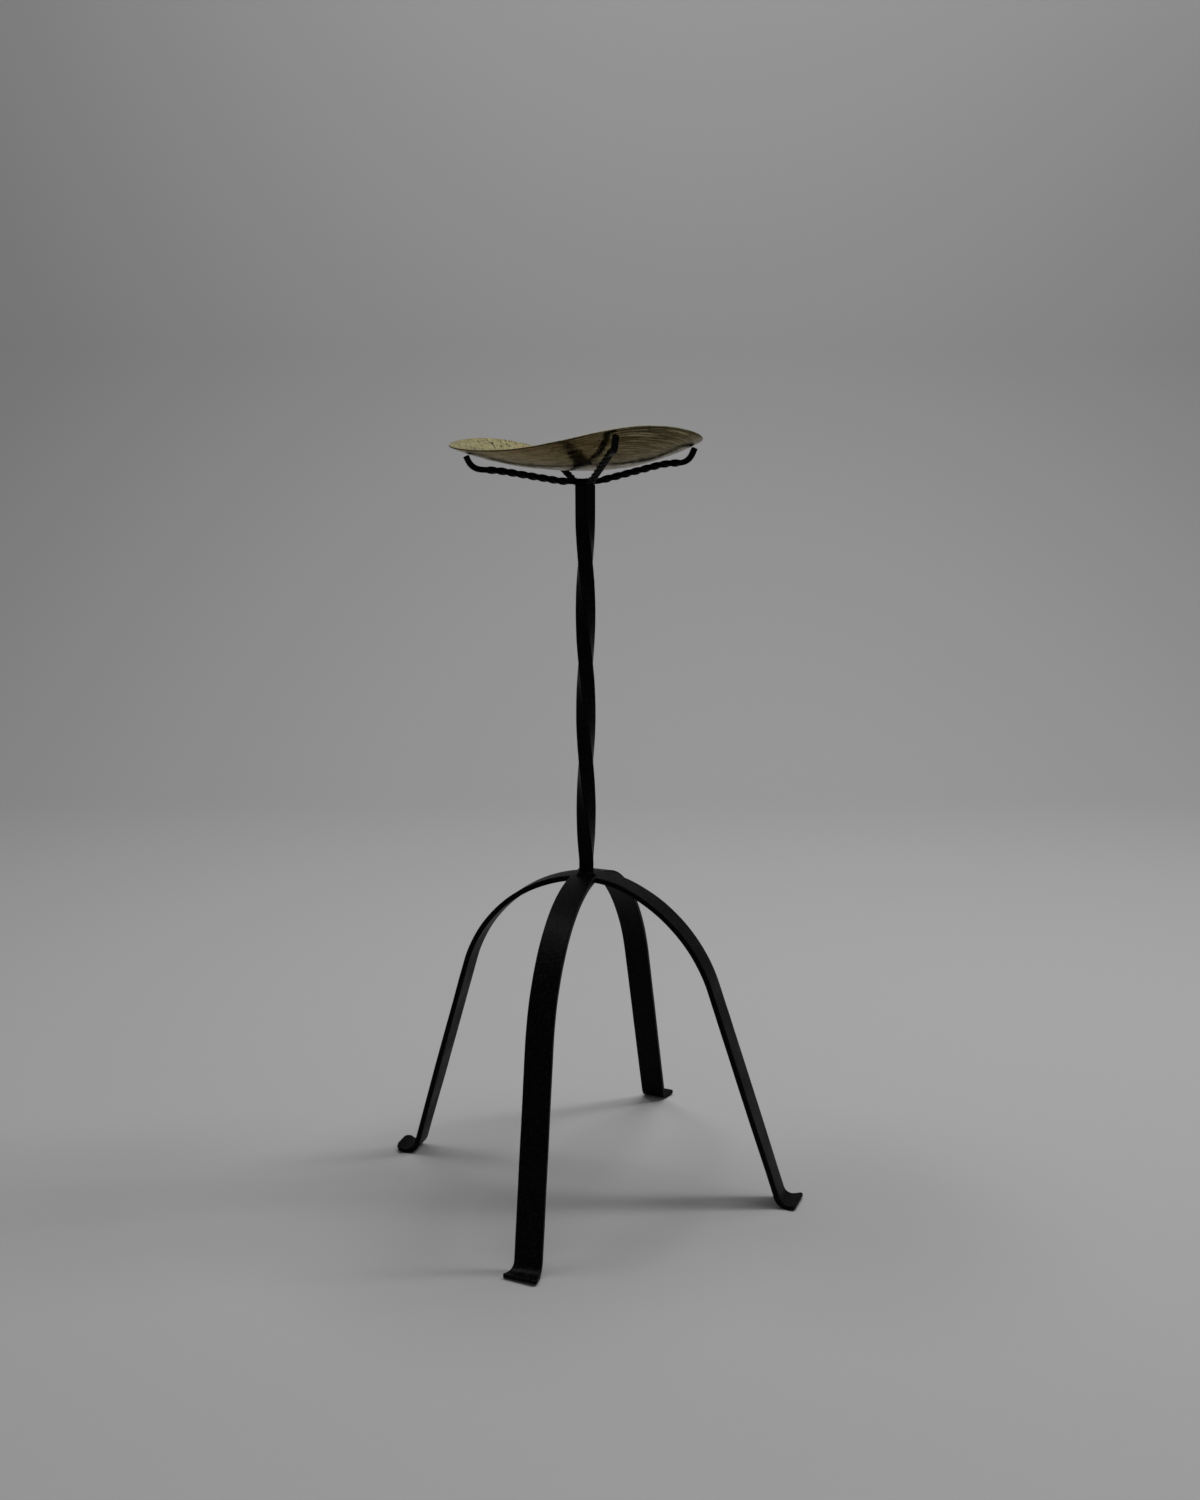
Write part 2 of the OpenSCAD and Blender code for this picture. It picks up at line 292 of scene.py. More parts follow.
def straight_bar(
    name: str,
    iron: bpy.types.Material,
    size: tuple[float, float, float],
    pitch: float,
    cuts_across: tuple[int, int],
) -> bpy.types.Object:
    """Cuts a straight bar along +X and divides its faces evenly.

    Args:
        name: The piece's name.
        iron: Its material.
        size: Its length, width and height.
        pitch: Largest distance between two rings.
        cuts_across: Cuts in its width and in its height.

    Returns:
        The bar, its near end at the origin.
    """
    bar = add_piece(name, [iron], bpy.ops.mesh.primitive_cube_add, size=1)
    settle(bar, place=(size[0] / 2, 0, 0), size=size)
    rings = math.ceil(size[0] / pitch)
    coarse = round(math.sqrt(rings))
    with edit_mode(bar, "EDGE"):
        for cuts in (coarse - 1, math.ceil(rings / coarse) - 1):
            pick_edges(bar, runs_along(0))
            bpy.ops.mesh.subdivide(number_cuts=cuts)
        for axis, cuts in zip((1, 2), cuts_across):
            pick_edges(bar, runs_along(axis))
            bpy.ops.mesh.subdivide(number_cuts=cuts)
    return bar


def soften_edges(piece: bpy.types.Object, radius: float, segments: int = 3) -> None:
    """Rounds a piece's sharp edges."""
    apply_modifier(
        piece, "BEVEL",
        width=radius, segments=segments, limit_method="ANGLE", angle_limit=SHARP_TURN,
        use_clamp_overlap=False,
    )


def twist_bar(bar: bpy.types.Object, start: float, end: float, turn: float) -> None:
    """Twists a bar along X between two places, and turns what lies past the second one.

    Args:
        bar: The bar, along X, its near end at the origin.
        start: Plain length before the twist.
        end: Length of the bar from its near end to the end of the twist.
        turn: Twist in radians, right-handed when positive.
    """
    length = bar.dimensions.x
    # The twist counts from the origin, so the bar slides there and back
    settle(bar, place=(-start, 0, 0))
    apply_modifier(
        bar, "SIMPLE_DEFORM",
        deform_method="TWIST", deform_axis="X", angle=turn, limits=(start / length, end / length),
    )
    settle(bar, place=(start, 0, 0))


def bend_bar(bar: bpy.types.Object, line: Line) -> None:
    """Bends a bar over a line and stands it up, so that the line lies in the XZ plane.

    Args:
        bar: The bar, along X, its height along Z before it is laid on its side.
        line: Points of the middle line as distance and height.
    """
    route = bpy.data.curves.new("route", "CURVE")
    route.dimensions = "2D"
    spline = route.splines.new("POLY")
    spline.points.add(len(line) - 1)
    for point, (x, z) in zip(spline.points, line):
        point.co = (x, z, 0.0, 1.0)
    guide = bpy.data.objects.new("route", route)
    bpy.context.scene.collection.objects.link(guide)
    settle(bar, turn=(-math.pi / 2, 0, 0))
    apply_modifier(bar, "CURVE", object=guide, deform_axis="POS_X")
    bpy.data.objects.remove(guide)
    bpy.data.curves.remove(route)
    settle(bar, turn=(math.pi / 2, 0, 0))


def roughen(piece: bpy.types.Object, seed_name: str, grain: float, depth: float) -> None:
    """Gives a surface the slight unevenness of hand work.

    Args:
        piece: The piece, in its place.
        seed_name: Name for the pattern.
        grain: Size of the dents.
        depth: Height between the lowest and the highest point.
    """
    pattern = bpy.data.textures.new(seed_name, "CLOUDS")
    pattern.noise_scale = grain
    pattern.noise_depth = 1
    apply_modifier(
        piece, "DISPLACE",
        texture=pattern, texture_coords="LOCAL", strength=depth, mid_level=0.5,
    )
    bpy.data.textures.remove(pattern)


def cut_off(piece: bpy.types.Object, point: Vector, outward: Vector) -> None:
    """Cuts a piece at a plane and closes the cut.

    Args:
        piece: The piece.
        point: A point of the plane.
        outward: Direction of the side that is taken away.
    """
    with edit_mode(piece):
        bpy.ops.mesh.select_all(action="SELECT")
        bpy.ops.mesh.bisect(
            plane_co=point, plane_no=outward, use_fill=True, clear_outer=True, threshold=CUT_WITHIN,
        )


def mitre(bar: bpy.types.Object, turns: Sequence[float], index: int, gap: float) -> None:
    """Mitres a bar's root at the stem's axis between its two neighbours.

    Args:
        bar: The bar, turned to its direction.
        turns: Directions of the bars, in their order round the stem.
        index: The bar's place in that order.
        gap: Gap of the weld to each neighbour.
    """
    full = 2 * math.pi
    turn = turns[index]
    before = (turn - turns[index - 1]) % full / 2
    after = (turns[(index + 1) % len(turns)] - turn) % full / 2
    apex = gap / 2 / math.sin(min(before, after))
    point = Vector((apex * math.cos(turn), apex * math.sin(turn), 0))
    for edge, side in ((turn - before, -1), (turn + after, 1)):
        cut_off(bar, point, Vector((-math.sin(edge), math.cos(edge), 0)) * side)


def finish_piece(
    piece: bpy.types.Object,
    body: Body,
    stands_for: Sequence[str] = (),
    smooth_angle: float = 35,
) -> None:
    """Shades a piece and hands it to its body.

    Args:
        piece: The piece, with its place in its mesh.
        body: The body that it rides on.
        stands_for: The CAD nodes that it replaces.
        smooth_angle: Sharpest angle in degrees that is shaded smooth.
    """
    select_only(piece)
    bpy.ops.object.shade_smooth_by_angle(angle=math.radians(smooth_angle))
    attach(piece, body.value)
    if stands_for:
        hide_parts(*stands_for)
    triangles = sum(len(polygon.vertices) - 2 for polygon in piece.data.polygons)
    log.info("%s: %d triangles on %s", piece.name, triangles, body.value)


def arc_run(start: Point, slope: float, turn: float, radius: float) -> Line:
    """Points of an arc after its start, in a vertical plane.

    Args:
        start: Distance and height of the arc's start.
        slope: Slope at the start.
        turn: Turn over the arc, upward when positive.
        radius: Radius of the arc.

    Returns:
        The arc's points without its start.
    """
    largest_step = math.radians(1.5)
    count = math.ceil(abs(turn) / largest_step)
    way = math.copysign(radius, turn)
    slopes = [slope + turn * (i + 1) / count for i in range(count)]
    return [
        (
            start[0] + way * (math.sin(a) - math.sin(slope)),
            start[1] + way * (math.cos(slope) - math.cos(a)),
        )
        for a in slopes
    ]


def line_length(line: Line) -> float:
    """Length of a line of points."""
    return sum(math.dist(a, b) for a, b in zip(line, line[1:]))


@dataclass(frozen=True)
class BlackenedIron:
    """Mild steel, forged, oil-blackened and waxed.

    The oil leaves a near-black skin that hides the metal's own colour. Hammer and scale give it a
    fine uneven grain, and hands rub the edges to a slightly browner, smoother tone.
    """

    name: str = "blackened_iron"
    skin: str = "#010101"
    scale_skin: str = "#101010"
    rubbed: str = "#24211d"
    roughness_low: float = 0.34
    roughness_high: float = 0.5
    specular_level: float = 0.042
    cloud_mm: float = 28.0
    scale_mm: float = 1.8
    pit_mm: float = 0.9
    scale_range: Span = (0.48, 0.62)
    edge_range: Span = (0.53, 0.62)
    scale_height_mm: float = 0.06
    pit_height_mm: float = 0.03

    def build(self) -> bpy.types.Material:
        """Makes the material."""
        material, tree = bare_material(self.name)
        place = add_node(tree, "ShaderNodeTexCoord").outputs["Object"]
        pointed = add_node(tree, "ShaderNodeNewGeometry").outputs["Pointiness"]
        clouds, scale, pits = (
            add_node(
                tree, "ShaderNodeTexNoise",
                inputs={"Vector": place, "Scale": per_metre(size), "Detail": detail},
            ).outputs["Fac"]
            for size, detail in ((self.cloud_mm, 3.0), (self.scale_mm, 5.0), (self.pit_mm, 2.0))
        )
        scaled, edge = (
            add_node(
                tree, "ShaderNodeMapRange",
                inputs={"Value": pattern, "From Min": low, "From Max": high},
            ).outputs[0]
            for pattern, (low, high) in ((scale, self.scale_range), (pointed, self.edge_range))
        )
        worn = add_node(
            tree, "ShaderNodeMath", {"operation": "MULTIPLY"}, {0: edge, 1: clouds},
        ).outputs[0]
        colour = linear(self.skin)
        for share, tone in ((scaled, self.scale_skin), (worn, self.rubbed)):
            colour = add_node(
                tree, "ShaderNodeMix", {"data_type": "RGBA"},
                {0: share, MIX_A: colour, MIX_B: linear(tone)},
            ).outputs[MIX_RESULT]
        roughness = add_node(
            tree, "ShaderNodeMapRange",
            inputs={
                "Value": clouds, "From Min": NOISE_SPAN[0], "From Max": NOISE_SPAN[1],
                "To Min": self.roughness_low, "To Max": self.roughness_high,
            },
        ).outputs[0]
        pitted = add_node(
            tree, "ShaderNodeBump",
            inputs={"Height": pits, "Distance": self.pit_height_mm * MM, "Strength": 1.0},
        ).outputs["Normal"]
        surface = add_node(
            tree, "ShaderNodeBump",
            inputs={
                "Height": scale, "Distance": self.scale_height_mm * MM, "Strength": 1.0,
                "Normal": pitted,
            },
        ).outputs["Normal"]
        shader = add_node(
            tree, "ShaderNodeBsdfPrincipled",
            inputs={
                "Base Color": colour, "Roughness": roughness, "Normal": surface,
                "Specular IOR Level": self.specular_level,
            },
        )
        add_node(tree, "ShaderNodeOutputMaterial", inputs={"Surface": shader.outputs[0]})
        return material


@dataclass(frozen=True)
class AgedBrass:
    """Sheet brass, hand-rubbed, with age on it.

    Rubbing leaves fine strokes round the dish and across it. Air and handling tint the metal in
    pinkish and greenish clouds. A dark brown band and a dark grey one laid across the dish are
    painted shade: painted dark reflection of what lies round and under it. Deep scratches hold
    dirt and look dark. Turns are in degrees, in plan.
    """

    name: str
    clean: str
    pink: str
    green: str
    dark: str
    grey: str
    dirt: str
    streak: str
    edge_tint: str
    middle: Point
    metallic: float
    roughness_low: float
    roughness_high: float
    painted_shade_share: float
    groove_share: float
    streak_share: float
    scratch_share: float
    scratch_range: Span
    long_turn: float = 35.0
    short_turn: float = 118.0
    stroke_width_mm: float = 0.8
    stroke_length_mm: float = 14.0
    stroke_height_mm: float = 0.03
    ring_width_mm: float = 2.2
    ring_grain: float = 2.2
    cloud_mm: float = 26.0
    patch_mm: float = 7.0
    patch_warp: float = 0.8
    pink_share: float = 0.8
    pink_range: Span = (0.48, 0.66)
    green_share: float = 0.7
    green_range: Span = (0.52, 0.68)
    groove_range: Span = (0.46, 0.36)
    streak_range: Span = (0.52, 0.60)
    scratched_range: Span = (0.42, 0.56)
    # Painted shade: dark brown and dark grey tones laid across the dish along this turn, as painted
    # dark reflection
    painted_shade_turn: float = 18.0
    painted_dark_shade_run: Span = (-52.0 * MM, -4.0 * MM)
    painted_grey_shade_run: Span = (14.0 * MM, 52.0 * MM)

    def strokes(
        self, tree: bpy.types.NodeTree, place: bpy.types.NodeSocket, turn: float, length_mm: float,
    ) -> bpy.types.NodeSocket:
        """Adds straight strokes in one direction.

        Args:
            tree: The material's tree.
            place: Place on the dish, from its middle.
            turn: Direction of the strokes in degrees.
            length_mm: Length of a stroke.

        Returns:
            The strokes' pattern, from 0 to 1.
        """
        laid = add_node(
            tree, "ShaderNodeMapping",
            inputs={"Vector": place, "Rotation": (0.0, 0.0, math.radians(-turn))},
        ).outputs[0]
        along, across = per_metre(length_mm), per_metre(self.stroke_width_mm)
        stretched = add_node(
            tree, "ShaderNodeVectorMath", {"operation": "MULTIPLY"},
            {0: laid, 1: (along, across, along)},
        ).outputs[0]
        return add_node(
            tree, "ShaderNodeTexNoise", inputs={"Vector": stretched, "Scale": 1.0, "Detail": 2.0},
        ).outputs["Fac"]

    def ring_place(
        self, tree: bpy.types.NodeTree, place: bpy.types.NodeSocket,
    ) -> bpy.types.NodeSocket:
        """Adds a place that changes slowly round the dish and fast from ring to ring.

        Args:
            tree: The material's tree.
            place: Place on the dish, from its middle.

        Returns:
            The direction from the middle in X and Y, and the number of the ring in Z.
        """
        flat = add_node(
            tree, "ShaderNodeVectorMath", {"operation": "MULTIPLY"}, {0: place, 1: (1.0, 1.0, 0.0)},
        ).outputs[0]
        way_out = add_node(
            tree, "ShaderNodeVectorMath", {"operation": "NORMALIZE"}, {0: flat},
        ).outputs[0]
        radius = add_node(
            tree, "ShaderNodeVectorMath", {"operation": "LENGTH"}, {0: flat},
        ).outputs["Value"]
        ring_number = add_node(
            tree, "ShaderNodeVectorMath", {"operation": "SCALE"},
            {0: (0.0, 0.0, per_metre(self.ring_width_mm)), "Scale": radius},
        ).outputs[0]
        return add_node(
            tree, "ShaderNodeVectorMath", {"operation": "ADD"}, {0: way_out, 1: ring_number},
        ).outputs[0]

    def build(self) -> bpy.types.Material:
        """Makes the material."""
        material, tree = bare_material(self.name)
        raw = add_node(tree, "ShaderNodeTexCoord").outputs["Object"]
        place = add_node(
            tree, "ShaderNodeMapping",
            inputs={"Vector": raw, "Location": (-self.middle[0], -self.middle[1], 0.0)},
        ).outputs[0]
        # Distance across the dish along the painted shade's turn, which lays out the painted dark
        # reflection
        turn = math.radians(self.painted_shade_turn)
        across = add_node(
            tree, "ShaderNodeVectorMath", {"operation": "DOT_PRODUCT"},
            {0: place, 1: (math.cos(turn), math.sin(turn), 0.0)},
        ).outputs["Value"]
        rings, clouds, patches = (
            add_node(
                tree, "ShaderNodeTexNoise",
                inputs={"Vector": spot, "Scale": scale, "Detail": detail, "Distortion": warp},
            ).outputs["Fac"]
            for spot, scale, detail, warp in (
                (self.ring_place(tree, place), self.ring_grain, 3.0, 0.0),
                (place, per_metre(self.cloud_mm), 3.0, 0.0),
                (place, per_metre(self.patch_mm), 5.0, self.patch_warp),
            )
        )
        layers = (
            (clouds, self.pink_range, self.pink_share, self.pink),
            (patches, self.green_range, self.green_share, self.green),
            # Painted shade: a dark brown band, then a dark grey one, across the dish stand for
            # darker reflections on the metal
            (across, self.painted_dark_shade_run, self.painted_shade_share, self.dark),
            (across, self.painted_grey_shade_run, self.painted_shade_share, self.grey),
            (rings, self.groove_range, self.groove_share, self.dirt),
            (rings, self.streak_range, self.streak_share, self.streak),
        )
        colour = linear(self.clean)
        for pattern, (low, high), most, tone in layers:
            share = add_node(
                tree, "ShaderNodeMapRange",
                inputs={"Value": pattern, "From Min": low, "From Max": high, "To Max": most},
            ).outputs[0]
            colour = add_node(
                tree, "ShaderNodeMix", {"data_type": "RGBA"},
                {0: share, MIX_A: colour, MIX_B: linear(tone)},
            ).outputs[MIX_RESULT]
        strokes = add_node(
            tree, "ShaderNodeMath", {"operation": "MAXIMUM"},
            {
                0: self.strokes(tree, place, self.long_turn, self.stroke_length_mm),
                1: self.strokes(tree, place, self.short_turn, self.stroke_length_mm / 2),
            },
        ).outputs[0]
        scratches, scratched = (
            add_node(
                tree, "ShaderNodeMapRange",
                inputs={"Value": pattern, "From Min": low, "From Max": high, "To Max": most},
            ).outputs[0]
            for pattern, (low, high), most in (
                (strokes, self.scratch_range, self.scratch_share),
                (patches, self.scratched_range, 1.0),
            )
        )
        dirty = add_node(
            tree, "ShaderNodeMath", {"operation": "MULTIPLY"}, {0: scratches, 1: scratched},
        ).outputs[0]
        colour = add_node(
            tree, "ShaderNodeMix", {"data_type": "RGBA"},
            {0: dirty, MIX_A: colour, MIX_B: linear(self.dirt)},
        ).outputs[MIX_RESULT]
        roughness = add_node(
            tree, "ShaderNodeMapRange",
            inputs={
                "Value": patches, "From Min": NOISE_SPAN[0], "From Max": NOISE_SPAN[1],
                "To Min": self.roughness_low, "To Max": self.roughness_high,
            },
        ).outputs[0]
        depth = self.stroke_height_mm * MM
        rubbed = add_node(
            tree, "ShaderNodeBump", inputs={"Height": rings, "Distance": depth, "Strength": 1.0},
        ).outputs["Normal"]
        surface = add_node(
            tree, "ShaderNodeBump", {"invert": True},
            {"Height": dirty, "Distance": depth, "Strength": 1.0, "Normal": rubbed},
        ).outputs["Normal"]
        shader = add_node(
            tree, "ShaderNodeBsdfPrincipled",
            inputs={
                "Base Color": colour, "Metallic": self.metallic, "Roughness": roughness,
                "Normal": surface, "Specular Tint": linear(self.edge_tint),
            },
        )
        add_node(tree, "ShaderNodeOutputMaterial", inputs={"Surface": shader.outputs[0]})
        return material


@dataclass(frozen=True)
class PaperSweep:
    """Matt grey photographer's paper, seamless."""

    name: str = "grey_paper"
    tone: str = "#9f9f9f"
    roughness: float = 0.9
    specular_level: float = 0.1
    fibre_mm: float = 1.5
    fibre_height_mm: float = 0.01

    def build(self) -> bpy.types.Material:
        """Makes the material."""
        material, tree = bare_material(self.name)
        place = add_node(tree, "ShaderNodeTexCoord").outputs["Object"]
        fibre = add_node(
            tree, "ShaderNodeTexNoise",
            inputs={"Vector": place, "Scale": per_metre(self.fibre_mm), "Detail": 3.0},
        ).outputs["Fac"]
        surface = add_node(
            tree, "ShaderNodeBump",
            inputs={"Height": fibre, "Distance": self.fibre_height_mm * MM, "Strength": 1.0},
        ).outputs["Normal"]
        shader = add_node(
            tree, "ShaderNodeBsdfPrincipled",
            inputs={
                "Base Color": linear(self.tone), "Roughness": self.roughness, "Normal": surface,
                "Specular IOR Level": self.specular_level,
            },
        )
        add_node(tree, "ShaderNodeOutputMaterial", inputs={"Surface": shader.outputs[0]})
        return material


@dataclass(frozen=True)
class Stem:
    """The square bar in the middle: plain, twisted, plain."""

    foot_z: float
    head_z: float
    side: float = 12 * MM
    edge: float = 1.0 * MM
    edge_rings: int = 4
    plain_foot: float = 13 * MM
    plain_head: float = 21 * MM
    twist: float = math.radians(-315)
    face_turn: float = math.radians(-70.7)
    ring_pitch: float = 1.8 * MM
    cuts: tuple[int, int] = (5, 5)
    dent_size: float = 18 * MM
    dent_depth: float = 0.16 * MM

    def build(self, iron: bpy.types.Material) -> None:
        """Makes the stem.

        Args:
            iron: The stem's material.
        """
        length = self.head_z - self.foot_z
        size = (length, self.side, self.side)
        bar = straight_bar("twisted_stem", iron, size, self.ring_pitch, self.cuts)
        soften_edges(bar, self.edge, self.edge_rings)
        twist_bar(bar, self.plain_foot, length - self.plain_head, self.twist)
        settle(bar, turn=(0, -math.pi / 2, 0))
        settle(bar, turn=(0, 0, self.face_turn), place=(0, 0, self.foot_z))
        roughen(bar, "stem_dents", self.dent_size, self.dent_depth)
        finish_piece(bar, Body.STAND, ["stem"])


@dataclass(frozen=True)
class LegBend:
    """How one leg is bent and its foot flared, each by hand and so each a little different.

    The foot stands out past the bar by one length on its right and another on its left, seen from
    the stem. Its end is cut askew and lifts off the floor.
    """

    turn: float
    reach: float
    lean: float
    crown_radius: float
    crown_turn: float
    width: float
    face_turn: float
    spread: tuple[float, float]
    corner: float
    skew: float
    lift: float = math.radians(11.7)


@dataclass(frozen=True)
class Legs:
    """The four flat bars under the stem, with curled and flared feet."""

    hub_z: float
    thickness: float = 4.5 * MM
    edge: float = 0.55 * MM
    level: float = 5 * MM
    weld_gap: float = 0.1 * MM
    foot_radius: float = 10.1 * MM
    foot_tip: float = 6.1 * MM
    flare_length: float = 19 * MM
    flare_curve: float = 1.8
    flare_thinning: float = 0.4
    face_end: float = 70 * MM
    shin_end: float = 95 * MM
    foot_start: float = 45 * MM
    sole_depth: float = 0.25 * MM
    ring_pitch: float = 1.6 * MM
    cuts: tuple[int, int] = (9, 1)
    dent_size: float = 24 * MM
    dent_depth: float = 0.22 * MM
    bends: tuple[LegBend, ...] = (
        LegBend(
            turn=math.radians(-86.3), reach=175.7 * MM, lean=math.radians(11.3),
            crown_radius=165 * MM, crown_turn=math.radians(13), width=21.8 * MM,
            face_turn=0.0, spread=(7.0 * MM, 1.2 * MM), corner=2.6 * MM, skew=math.radians(9),
        ),
        LegBend(
            turn=0.0, reach=179.0 * MM, lean=math.radians(18.8),
            crown_radius=82 * MM, crown_turn=math.radians(23.5), width=21.8 * MM,
            face_turn=math.radians(2), spread=(0.3 * MM, 4.3 * MM), corner=1.8 * MM,
            skew=math.radians(5),
        ),
        LegBend(
            turn=math.radians(85.9), reach=173.7 * MM, lean=math.radians(16.5),
            crown_radius=92 * MM, crown_turn=math.radians(38.5), width=22.4 * MM,
            face_turn=0.0, spread=(4.3 * MM, 1.0 * MM), corner=1.8 * MM, skew=0.0,
        ),
        LegBend(
            turn=math.radians(182.4), reach=166.6 * MM, lean=math.radians(16.4),
            crown_radius=60 * MM, crown_turn=math.radians(12), width=21.8 * MM,
            face_turn=math.radians(2.5), spread=(3.5 * MM, 3.5 * MM), corner=8 * MM, skew=0.0,
            lift=math.radians(28),
        ),
    )

    def bow_radius(self, bend: LegBend) -> float:
        """Radius of the long bow that brings a leg to its reach at its lean."""
        sine, cosine = math.sin(bend.lean), math.cos(bend.lean)
        drop = self.hub_z - self.thickness - self.foot_radius * (1 - sine)
        crown_run = bend.crown_radius * math.sin(bend.crown_turn)
        run = bend.reach - self.level - crown_run - self.foot_radius * cosine
        shin_drop = drop - bend.crown_radius * (1 - math.cos(bend.crown_turn))
        slant = math.tan(bend.lean)
        share = cosine - math.sin(bend.crown_turn) - slant * (math.cos(bend.crown_turn) - sine)
        return (run - slant * shin_drop) / share

    def middle_line(self, bend: LegBend) -> Line:
        """Middle line of a leg: level run, crown, bow, straight shin, curl and tip.

        Args:
            bend: How the leg is bent.

        Returns:
            Its points as distance from the stem's axis and height.
        """
        line = [(0.0, self.hub_z - self.thickness / 2)]
        line.append((self.level, line[0][1]))
        shin = bend.lean - math.pi / 2
        line += arc_run(line[-1], 0.0, -bend.crown_turn, bend.crown_radius)
        line += arc_run(line[-1], -bend.crown_turn, shin + bend.crown_turn, self.bow_radius(bend))
        curl_z = self.thickness / 2 + self.foot_radius * (1 - math.sin(bend.lean)) - self.sole_depth
        line.append((bend.reach - self.foot_radius * math.cos(bend.lean), curl_z))
        line += arc_run(line[-1], shin, bend.lift - shin, self.foot_radius)
        line.append(
            (
                line[-1][0] + self.foot_tip * math.cos(bend.lift),
                line[-1][1] + self.foot_tip * math.sin(bend.lift),
            )
        )
        return line

    def flare(self, bar: bpy.types.Object, length: float, bend: LegBend) -> None:
        """Spreads the foot end of a straight bar to a thinner fishtail with two round corners.

        Args:
            bar: The bar, its width along Y.
            length: The bar's length.
            bend: How its foot is flared.
        """
        with edit_mode(bar) as mesh:
            for place in sorted({round(vert.co.x, 6) for vert in mesh.verts}):
                share = max(0.0, 1 - (length - place) / self.flare_length) ** self.flare_curve
                if share == 0.0:
                    continue
                into_corner = max(0.0, place - (length - bend.corner))
                cut = bend.corner - math.sqrt(max(0.0, bend.corner ** 2 - into_corner ** 2))
                right, left = (bend.width / 2 + part * share - cut for part in bend.spread)
                wider = (right + left) / bend.width
                pick_verts(bar, lambda spot, here=place: abs(spot.x - here) < LEVEL_WITHIN)
                thinner = 1 - self.flare_thinning * share
                bpy.ops.transform.resize(value=(1, wider, thinner), center_override=(place, 0, 0))
                bpy.ops.transform.translate(value=(0, (left - right) / 2, 0))
                bpy.ops.transform.rotate(
                    value=bend.skew * share, orient_axis="Z", center_override=(place, left, 0),
                )

    def build_leg(self, index: int, iron: bpy.types.Material) -> None:
        """Makes one leg.

        Args:
            index: Its place in the order of the sides.
            iron: Its material.
        """
        side = SIDES[index]
        bend = self.bends[index]
        line = self.middle_line(bend)
        length = line_length(line)
        size = (length, bend.width, self.thickness)
        bar = straight_bar(f"{side.value}_leg_bar", iron, size, self.ring_pitch, self.cuts)
        self.flare(bar, length, bend)
        soften_edges(bar, self.edge)
        twist_bar(bar, 0.0, self.face_end, bend.face_turn)
        twist_bar(bar, length - self.shin_end, length - self.foot_start, -bend.face_turn)
        bend_bar(bar, line)
        settle(bar, turn=(0, 0, bend.turn))
        roughen(bar, f"{side.value}_leg_dents", self.dent_size, self.dent_depth)
        mitre(bar, [each.turn for each in self.bends], index, self.weld_gap)
        cut_off(bar, Vector((0, 0, 0)), Vector((0, 0, -1)))
        finish_piece(bar, Body.STAND, [f"leg_{side.value}"])

    def build(self, iron: bpy.types.Material) -> None:
        """Makes the four legs."""
        for index in range(len(SIDES)):
            self.build_leg(index, iron)


